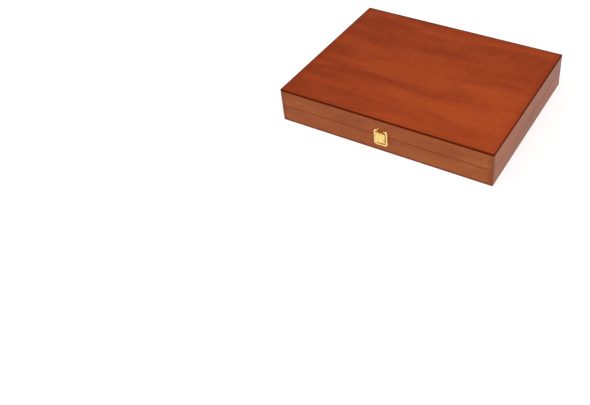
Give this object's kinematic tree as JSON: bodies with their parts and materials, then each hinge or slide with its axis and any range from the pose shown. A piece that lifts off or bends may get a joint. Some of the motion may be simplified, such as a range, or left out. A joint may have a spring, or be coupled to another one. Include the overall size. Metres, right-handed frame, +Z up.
{
  "type": "chess box",
  "caption": "Shallow wooden chess box with a lid as deep as its base, butt hinges at the back, a lever clasp in front, compartments inside and a padded lid.",
  "frame": {"origin": "centre of the underside of the base, where the box stands", "axes": "+X to the right along the front, +Y from the front to the hinged back, +Z up to the lid's top"},
  "size_m": [0.38, 0.3087, 0.061],
  "materials": {
    "mahogany": "stained and lacquered",
    "top_veneer": "glossy lacquered veneer",
    "slat_wood": "satin stained",
    "felt": "matt felt",
    "brass": "polished"
  },
  "bodies": {
    "base": {"base_front_wall": "mahogany", "base_right_wall": "mahogany", "base_back_wall": "mahogany", "base_left_wall": "mahogany", "base_bottom_panel": "mahogany", "base_felt": "felt", "long_divider_1": "slat_wood", "long_divider_2": "slat_wood", "cross_divider_1": "slat_wood", "cross_divider_2": "slat_wood", "cross_divider_3": "slat_wood", "cross_divider_4": "slat_wood", "cross_divider_5": "slat_wood", "cross_divider_6": "slat_wood", "cross_divider_7": "slat_wood", "hinge_base_leaf_left": "brass", "hinge_base_leaf_right": "brass", "hinge_pin_left": "brass", "hinge_pin_right": "brass", "hinge_base_screws": "brass", "clasp_base_plate": "brass", "clasp_base_nails": "brass", "clasp_lever_pin": "brass"},
    "lid": {"lid_front_wall": "mahogany", "lid_right_wall": "mahogany", "lid_back_wall": "mahogany", "lid_left_wall": "mahogany", "lid_top_panel": "top_veneer", "lid_pad": "felt", "hinge_lid_leaf_left": "brass", "hinge_lid_leaf_right": "brass", "hinge_lid_screws": "brass", "clasp_keeper_plate": "brass", "clasp_keeper_nails": "brass"},
    "lever": {"clasp_lever": "brass"}
  },
  "joints": [
    {"name": "lid_hinge", "type": "hinge", "parent": "base", "child": "lid", "pos_m": [0, 0.15235, 0.03065], "axis": [-1, 0, 0], "range_deg": [0, 180]},
    {"name": "lever_pivot", "type": "hinge", "parent": "base", "child": "lever", "pos_m": [0, -0.15235, 0.0195], "axis": [1, 0, 0], "range_deg": [0, 120]}
  ]
}
